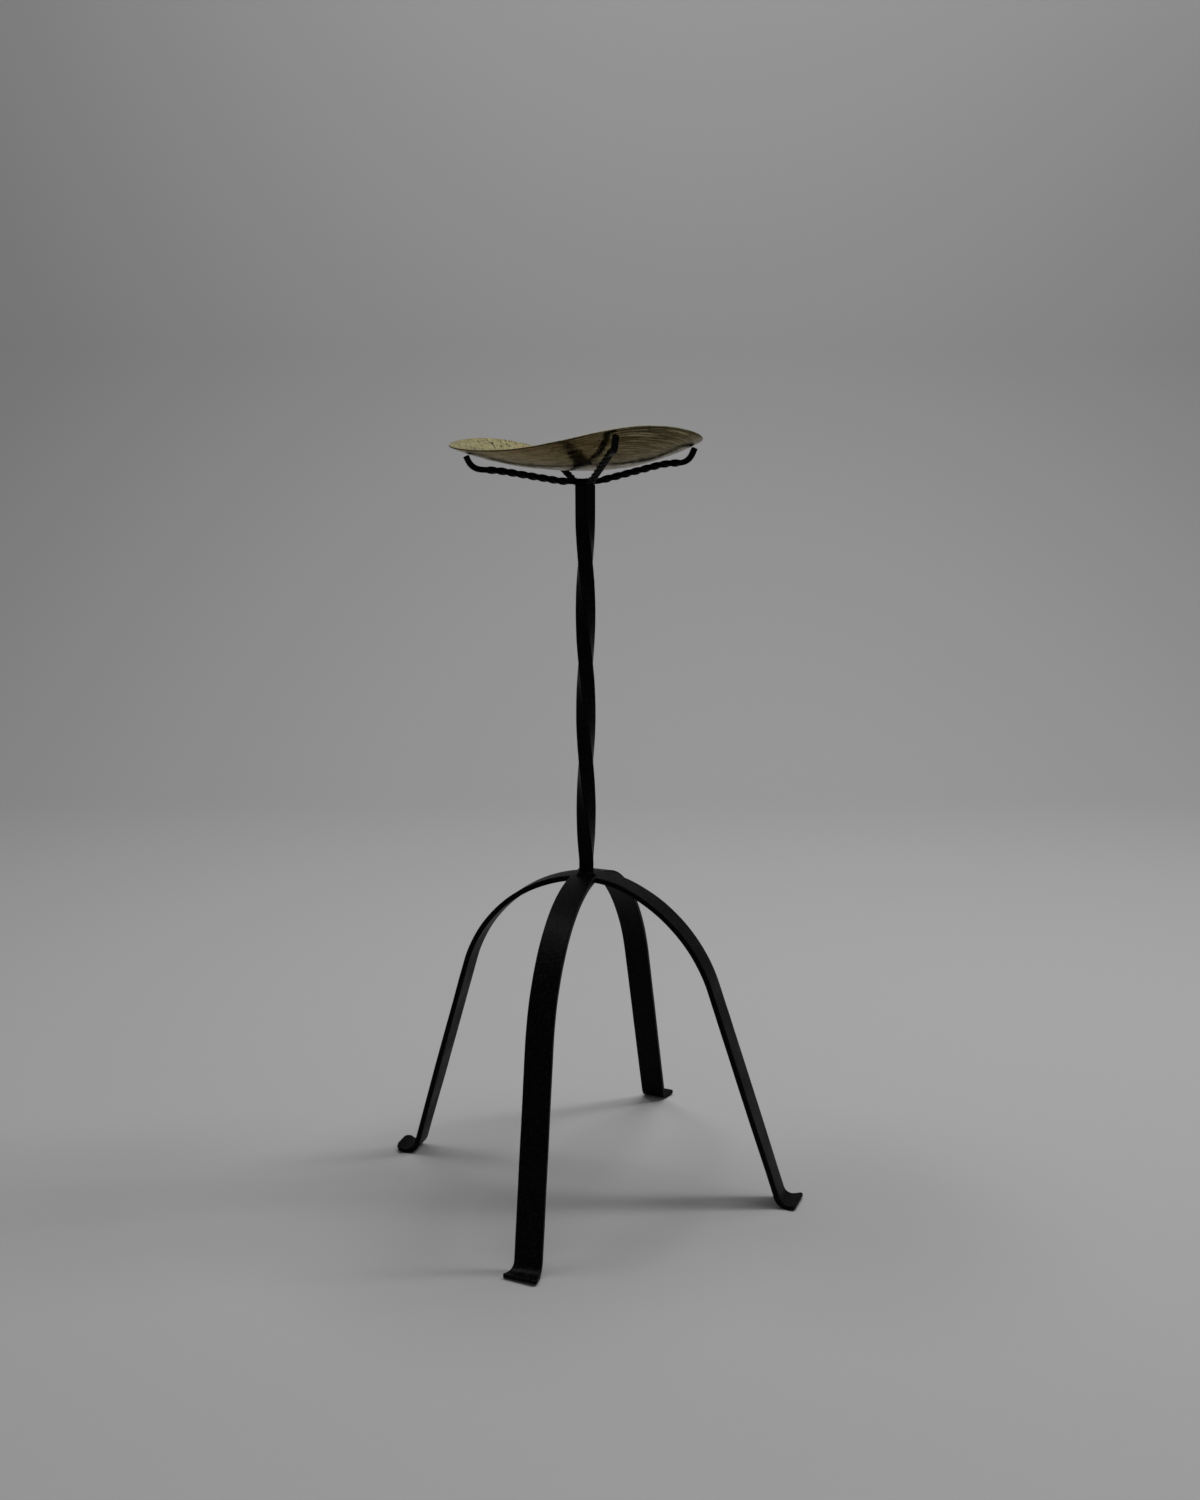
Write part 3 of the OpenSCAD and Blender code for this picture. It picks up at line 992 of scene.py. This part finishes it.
@dataclass(frozen=True)
class Dish:
    """The shallow brass bowl, bent by hand to a saddle."""

    bottom_z: float
    radius: float = 99.7 * MM
    sheet: float = 1.1 * MM
    depth: float = 19.9 * MM
    curve: float = 2.2
    saddle_height: float = 8.3 * MM
    saddle_turn: float = math.radians(-16.8)
    tilt_height: float = 1.8 * MM
    tilt_turn: float = math.radians(-15.5)
    wave_height: float = 1.7 * MM
    wave_turn: float = math.radians(47.1)
    ripple_height: float = 1.5 * MM
    ripple_turn: float = math.radians(48.6)
    oval: float = 1.3 * MM
    oval_turn: float = math.radians(32.5)
    shift: float = 7 * MM
    shift_turn: float = math.radians(199.7)
    edge: float = 0.35 * MM
    dent_size: float = 26 * MM
    dent_depth: float = 0.5 * MM
    facet_size: float = 9 * MM
    facet_depth: float = 0.3 * MM
    smooth_angle: float = 60
    segments: int = 192
    rings: int = 56

    @property
    def middle(self) -> Vector:
        """Middle of the dish in plan."""
        return self.shift * Vector((math.cos(self.shift_turn), math.sin(self.shift_turn)))

    def rim_radius(self, turn: float) -> float:
        """Radius of the rim in plan in one direction."""
        return self.radius + self.oval * math.cos(2 * (turn - self.oval_turn))

    def underside(self, turn: float, share: float) -> float:
        """Height of the underside.

        Args:
            turn: Direction from the dish's middle.
            share: Share of the way from the middle to the rim.

        Returns:
            The height over the floor.
        """
        return (
            self.bottom_z
            + self.depth * share ** self.curve
            + self.tilt_height * math.cos(turn - self.tilt_turn) * share
            + self.saddle_height * math.cos(2 * (turn - self.saddle_turn)) * share ** 2
            + self.wave_height * math.cos(3 * (turn - self.wave_turn)) * share ** 3
            + self.ripple_height * math.cos(4 * (turn - self.ripple_turn)) * share ** 4
        )

    def underside_at(self, spot: Vector) -> float:
        """Height of the underside over a point of the plan."""
        way = spot - self.middle
        turn = math.atan2(way.y, way.x)
        return self.underside(turn, way.length / self.rim_radius(turn))

    def build(self, finishes: Sequence[bpy.types.Material]) -> None:
        """Makes the dish.

        A flat round blank is drawn out ring by ring, sunk and bent to its form, and given the
        thickness of its sheet.

        Args:
            finishes: Materials of the underside, the inside and the rim.
        """
        dish = add_piece(
            "brass_dish", finishes, bpy.ops.mesh.primitive_circle_add,
            vertices=self.segments, radius=1 / self.rings, fill_type="TRIFAN",
        )
        half_ring = 0.5 / self.rings
        with edit_mode(dish):
            for ring in range(1, self.rings):
                here = ring / self.rings
                pick_verts(dish, lambda spot, size=here: abs(spot.length - size) < half_ring)
                bpy.ops.mesh.extrude_edges_move()
                grown = (ring + 1) / ring
                bpy.ops.transform.resize(value=(grown, grown, 1), center_override=(0, 0, 0))
        for vert in dish.data.vertices:
            turn = math.atan2(vert.co.y, vert.co.x)
            share = vert.co.xy.length
            plan = self.middle + self.rim_radius(turn) * vert.co.xy
            vert.co = (plan.x, plan.y, self.underside(turn, share))
        with edit_mode(dish, "FACE"):
            bpy.ops.mesh.select_all(action="SELECT")
            bpy.ops.mesh.remove_doubles(threshold=LEVEL_WITHIN)
            bpy.ops.mesh.normals_make_consistent(inside=False)
            mesh = bmesh.from_edit_mesh(dish.data)
            mesh.faces.ensure_lookup_table()
            if mesh.faces[0].normal.z > 0:
                bpy.ops.mesh.flip_normals()
        roughen(dish, "dish_dents", self.dent_size, self.dent_depth)
        roughen(dish, "dish_facets", self.facet_size, self.facet_depth)
        apply_modifier(
            dish, "SOLIDIFY",
            thickness=self.sheet, offset=-1, material_offset=1, material_offset_rim=2,
        )
        soften_edges(dish, self.edge)
        finish_piece(dish, Body.DISH, ["dish"], self.smooth_angle)


@dataclass(frozen=True)
class ArmBend:
    """Direction of one arm, its reach, its level length, its knee and the height of its tip."""

    turn: float
    reach: float
    level: float
    knee: float
    upturn: float


@dataclass(frozen=True)
class Arms:
    """The four thin twisted bars that carry the dish."""

    root_z: float
    dish: Dish
    side: float = 4.5 * MM
    edge: float = 0.5 * MM
    weld_gap: float = 0.1 * MM
    shelf_rise: float = 0.9 * MM
    tip_slope: float = math.radians(66)
    twist_start: float = 14 * MM
    twist_end: float = 80 * MM
    twist: float = math.radians(720)
    root_ease: float = 4 * MM
    bend_ease: float = 8 * MM
    rest_gap: float = 0.3 * MM
    toe_share: float = 0.9
    curve_steps: int = 12
    ring_pitch: float = 0.7 * MM
    cuts: tuple[int, int] = (3, 3)
    dent_size: float = 7 * MM
    dent_depth: float = 0.14 * MM
    bends: tuple[ArmBend, ...] = (
        ArmBend(math.radians(-56.9), 92.5 * MM, 21 * MM, 80 * MM, 11.5 * MM),
        ArmBend(math.radians(30.3), 88.5 * MM, 9.5 * MM, 66 * MM, 12.4 * MM),
        ArmBend(math.radians(126.3), 92 * MM, 26 * MM, 80 * MM, 5 * MM),
        ArmBend(math.radians(210.3), 93.2 * MM, 19 * MM, 70 * MM, 11.1 * MM),
    )

    def tip_middle(self, bend: ArmBend) -> Point:
        """Highest middle of an arm's end that keeps both of its upper corners off the dish."""
        turned = Matrix.Rotation(bend.turn, 2)
        corners = [turned @ Vector((bend.reach, side * self.side / 2)) for side in (1, -1)]
        contact = min(self.dish.underside_at(corner) for corner in corners) - self.rest_gap
        return (
            bend.reach + self.side / 2 * math.sin(self.tip_slope),
            contact - self.side / 2 * math.cos(self.tip_slope),
        )

    def middle_line(self, bend: ArmBend) -> Line:
        """Middle line of an arm: level at the hub, a rise, a shelf and an upturned tip.

        Args:
            bend: How the arm is bent.

        Returns:
            Its points as distance from the stem's axis and height.
        """
        tip = Vector(self.tip_middle(bend))
        shelf_z = tip.y - bend.upturn
        toe_run = (bend.upturn - self.shelf_rise) / math.tan(self.tip_slope)
        corners = [
            Vector((0, self.root_z)),
            Vector((bend.level, self.root_z)),
            Vector((bend.knee, shelf_z)),
            Vector((tip.x - toe_run, shelf_z + self.shelf_rise)),
            tip,
        ]
        line = [tuple(corners[0])]
        shelf = (corners[3] - corners[2]).length
        knee_ease = min(self.bend_ease, shelf / 2)
        toe_ease = min(knee_ease, self.toe_share * (tip - corners[3]).length)
        eases = (self.root_ease, knee_ease, toe_ease)
        for before, corner, after, ease in zip(corners, corners[1:], corners[2:], eases):
            start = corner + ease * (before - corner).normalized()
            end = corner + ease * (after - corner).normalized()
            for step in range(self.curve_steps + 1):
                t = step / self.curve_steps
                line.append(tuple((1 - t) ** 2 * start + 2 * t * (1 - t) * corner + t * t * end))
        line.append(tuple(tip))
        return line

    def build_arm(self, index: int, iron: bpy.types.Material) -> None:
        """Makes one arm.

        Args:
            index: Its place in the order of the sides.
            iron: Its material.
        """
        side = SIDES[index]
        bend = self.bends[index]
        line = self.middle_line(bend)
        length = line_length(line)
        size = (length, self.side, self.side)
        bar = straight_bar(f"{side.value}_arm_bar", iron, size, self.ring_pitch, self.cuts)
        soften_edges(bar, self.edge)
        twist_bar(bar, self.twist_start, self.twist_end, self.twist)
        bend_bar(bar, line)
        settle(bar, turn=(0, 0, bend.turn))
        roughen(bar, f"{side.value}_arm_dents", self.dent_size, self.dent_depth)
        mitre(bar, [each.turn for each in self.bends], index, self.weld_gap)
        finish_piece(bar, Body.STAND, [f"arm_{side.value}"])

    def build(self, iron: bpy.types.Material) -> None:
        """Makes the four arms."""
        for index in range(len(SIDES)):
            self.build_arm(index, iron)


@dataclass(frozen=True)
class WeldBead:
    """Weld metal at an end of the stem, filed to a low block that may narrow upward."""

    name: str
    foot_z: float
    turn: float
    height: float
    low_side: float
    high_side: float
    edge: float = 1.2 * MM
    cuts: int = 7
    dent_size: float = 2.5 * MM
    dent_depth: float = 0.5 * MM

    def build(self, iron: bpy.types.Material) -> None:
        """Makes the weld.

        Args:
            iron: Its material.
        """
        weld = add_piece(self.name, [iron], bpy.ops.mesh.primitive_cube_add, size=1)
        middle_z = self.foot_z + self.height / 2
        settle(weld, place=(0, 0, middle_z), size=(self.low_side, self.low_side, self.height))
        narrowing = self.high_side / self.low_side
        with edit_mode(weld):
            pick_verts(weld, lambda spot: spot.z > middle_z)
            bpy.ops.transform.resize(
                value=(narrowing, narrowing, 1), center_override=(0, 0, self.foot_z),
            )
        with edit_mode(weld, "EDGE"):
            for axis in (0, 1):
                pick_edges(weld, runs_along(axis))
                bpy.ops.mesh.subdivide(number_cuts=self.cuts)
        soften_edges(weld, self.edge)
        settle(weld, turn=(0, 0, self.turn))
        roughen(weld, f"{self.name}_dents", self.dent_size, self.dent_depth)
        finish_piece(weld, Body.STAND)


@dataclass(frozen=True)
class PhotoCamera:
    """The camera at the photograph's place."""

    place: Vector = field(default_factory=lambda: Vector((365.5, -1044.8, 563.8)) * MM)
    turn: float = math.radians(18.68)
    pitch: float = math.radians(9.73)
    roll: float = math.radians(-0.07)
    focal_pixels: float = 1356.9
    sensor: float = 36.0

    def build(self) -> None:
        """Makes the camera and looks through it."""
        data = bpy.data.cameras.new("photo_camera")
        data.sensor_width = self.sensor
        data.lens = self.sensor * self.focal_pixels / max(IMAGE_WIDTH, IMAGE_HEIGHT)
        data.clip_start = 0.01
        data.clip_end = 50.0
        camera = bpy.data.objects.new("photo_camera", data)
        raised = Matrix.Rotation(math.pi / 2 - self.pitch, 4, "X")
        turned = Matrix.Rotation(self.turn, 4, "Z") @ raised
        camera.matrix_world = (
            Matrix.Translation(self.place) @ turned @ Matrix.Rotation(self.roll, 4, "Z")
        )
        bpy.context.scene.collection.objects.link(camera)
        bpy.context.scene.camera = camera


@dataclass(frozen=True)
class Lamp:
    """A soft area lamp, placed by its direction from the point that it looks at."""

    name: str
    aim: Vector
    direction: Vector
    distance: float
    width: float
    height: float
    watts: float

    def build(self, turn: float) -> None:
        """Hangs the lamp.

        Args:
            turn: The camera's turn, which the lamp follows.
        """
        data = bpy.data.lights.new(self.name, "AREA")
        data.shape = "RECTANGLE"
        data.size = self.width
        data.size_y = self.height
        data.energy = self.watts
        lamp = bpy.data.objects.new(self.name, data)
        turned = Matrix.Rotation(turn, 3, "Z")
        way = turned @ self.direction.normalized()
        lamp.location = turned @ self.aim + way * self.distance
        lamp.rotation_mode = "QUATERNION"
        lamp.rotation_quaternion = way.to_track_quat("Z", "Y")
        bpy.context.scene.collection.objects.link(lamp)


@dataclass(frozen=True)
class Studio:
    """Grey paper sweep, lamps and the plain world round them.

    Directions are given as the camera sees them: X to its right, Y away from it.
    """

    camera: PhotoCamera
    floor_reach: float = 1.55
    floor_front: float = 5.0
    half_width: float = 6.0
    cove_radius: float = 1.0
    wall_top: float = 4.0
    cove_steps: int = 24
    world_tone: str = "#747474"
    ambient_tone: str = "#7c7c7c"

    def build_sweep(self) -> None:
        """Makes the floor, the cove and the wall as one sheet."""
        sweep = add_piece(
            "paper_sweep", [PaperSweep().build()], bpy.ops.mesh.primitive_plane_add, size=1,
        )
        depth = self.floor_reach + self.floor_front
        settle(
            sweep, place=(0, self.floor_reach - depth / 2, 0), size=(2 * self.half_width, depth, 1),
        )
        with edit_mode(sweep, "EDGE"):
            pick_edges(sweep, lambda middle, run: middle.y > self.floor_reach - LEVEL_WITHIN)
            piece = 2 * self.cove_radius * math.sin(math.pi / 4 / self.cove_steps)
            for step in range(self.cove_steps):
                angle = math.pi / 2 * (step + 0.5) / self.cove_steps
                bpy.ops.mesh.extrude_edges_move(
                    TRANSFORM_OT_translate={
                        "value": (0, piece * math.cos(angle), piece * math.sin(angle)),
                    },
                )
            bpy.ops.mesh.extrude_edges_move(
                TRANSFORM_OT_translate={"value": (0, 0, self.wall_top - self.cove_radius)},
            )
        settle(sweep, turn=(0, 0, self.camera.turn))
        select_only(sweep)
        bpy.ops.object.shade_smooth()

    def build_world(self) -> None:
        """Makes a plain grey world that camera and glossy rays see as the backdrop's tone."""
        world = bpy.data.worlds.new("studio_world")
        world.use_nodes = True
        tree = world.node_tree
        tree.nodes.clear()
        rays = add_node(tree, "ShaderNodeLightPath").outputs
        shown = rays["Is Camera Ray"]
        for kind in ("Is Glossy Ray", "Is Transmission Ray"):
            shown = add_node(
                tree, "ShaderNodeMath", {"operation": "MAXIMUM"}, {0: shown, 1: rays[kind]},
            ).outputs[0]
        ambient, backdrop = (
            add_node(
                tree, "ShaderNodeBackground", inputs={"Color": linear(tone), "Strength": 1.0},
            ).outputs[0]
            for tone in (self.ambient_tone, self.world_tone)
        )
        mixed = add_node(
            tree, "ShaderNodeMixShader", inputs={0: shown, 1: ambient, 2: backdrop},
        ).outputs[0]
        add_node(tree, "ShaderNodeOutputWorld", inputs={"Surface": mixed})
        bpy.context.scene.world = world

    def build(self) -> None:
        """Makes the sweep, the world and the lamps."""
        self.build_sweep()
        self.build_world()
        holder = Vector((0.0, 0.0, 0.1))
        wall = Vector((0.7, self.floor_reach + self.cove_radius, 2.25))
        lamps = (
            Lamp(
                "right_box", holder, Vector((0.67, 0.09, 1.0)),
                distance=2.4, width=0.26, height=1.3, watts=21.0,
            ),
            Lamp(
                "left_box", holder, Vector((-0.28, 0.08, 1.0)),
                distance=2.4, width=0.45, height=0.45, watts=9.0,
            ),
            Lamp(
                "top_box", holder, Vector((0.06, 0.07, 1.0)),
                distance=2.4, width=0.65, height=0.65, watts=19.5,
            ),
            Lamp(
                "wall_box", wall, Vector((0.15, -1.5, 1.0)),
                distance=1.6, width=4.8, height=1.0, watts=47.0,
            ),
        )
        for lamp in lamps:
            lamp.build(self.camera.turn)


def brass_finishes(middle: Point) -> list[bpy.types.Material]:
    """Makes the brass of the dish's underside, its inside and its rim.

    Args:
        middle: Middle of the dish in plan.

    Returns:
        The three materials in this order.
    """
    # The underside's tones are far darker than the inside's: partly tarnish, partly painted shade
    # of the dish's downward side.
    underside = AgedBrass(
        name="tarnished_and_shaded_brass", clean="#75653a", pink="#7f5747", green="#45432c",
        dark="#302309", grey="#2e2827", dirt="#1a140a", streak="#aaa184", edge_tint="#dcd3bd",
        middle=middle, metallic=0.92, roughness_low=0.12, roughness_high=0.26,
        painted_shade_share=0.8, groove_share=0.95, streak_share=0.65,
        scratch_share=0.95, scratch_range=(0.57, 0.63),
    )
    inside = AgedBrass(
        name="rubbed_brass", clean="#bcb385", pink="#ae947e", green="#9b9e80",
        dark="#b4aa7b", grey="#b0a67c", dirt="#2a2416", streak="#c7c19c", edge_tint="#fffbe6",
        middle=middle, metallic=1.0, roughness_low=0.25, roughness_high=0.42,
        painted_shade_share=0.5, groove_share=0.25, streak_share=0.3,
        scratch_share=1.0, scratch_range=(0.545, 0.60),
        long_turn=125.0, short_turn=156.0, stroke_width_mm=0.9,
    )
    rim = AgedBrass(
        name="worn_rim_brass", clean="#5f5940", pink="#5c4d3c", green="#5a6044",
        dark="#4a4530", grey="#565a46", dirt="#2a2418", streak="#7f7a5c", edge_tint="#b7b196",
        middle=middle, metallic=1.0, roughness_low=0.42, roughness_high=0.56,
        painted_shade_share=0.6, groove_share=0.3, streak_share=0.3,
        scratch_share=0.5, scratch_range=(0.57, 0.64),
    )
    return [brass.build() for brass in (underside, inside, rim)]


def set_view() -> None:
    """Keeps the plain view transform."""
    bpy.context.scene.view_settings.view_transform = "Standard"


def main() -> None:
    """Builds the camera, the candle holder and the studio."""
    camera = PhotoCamera()
    camera.build()
    iron = BlackenedIron().build()
    stem = Stem(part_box("stem")[0].z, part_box("stem")[1].z)
    stem.build(iron)
    Legs(stem.foot_z).build(iron)
    dish_lift = 6.5 * MM
    dish = Dish(stem.head_z + Arms.side + dish_lift)
    dish.build(brass_finishes((dish.middle.x, dish.middle.y)))
    Arms(stem.head_z + Arms.side / 2, dish).build(iron)
    collar = WeldBead(
        "stem_foot_weld", stem.foot_z, stem.face_turn,
        height=3.2 * MM, low_side=17.5 * MM, high_side=12.8 * MM,
    )
    pad = WeldBead(
        "stem_head_weld", stem.head_z, stem.face_turn + stem.twist,
        height=4.3 * MM, low_side=13.2 * MM, high_side=13.2 * MM,
    )
    for weld in (collar, pad):
        weld.build(iron)
    Studio(camera).build()
    set_view()


if __name__ == "__main__":
    main()
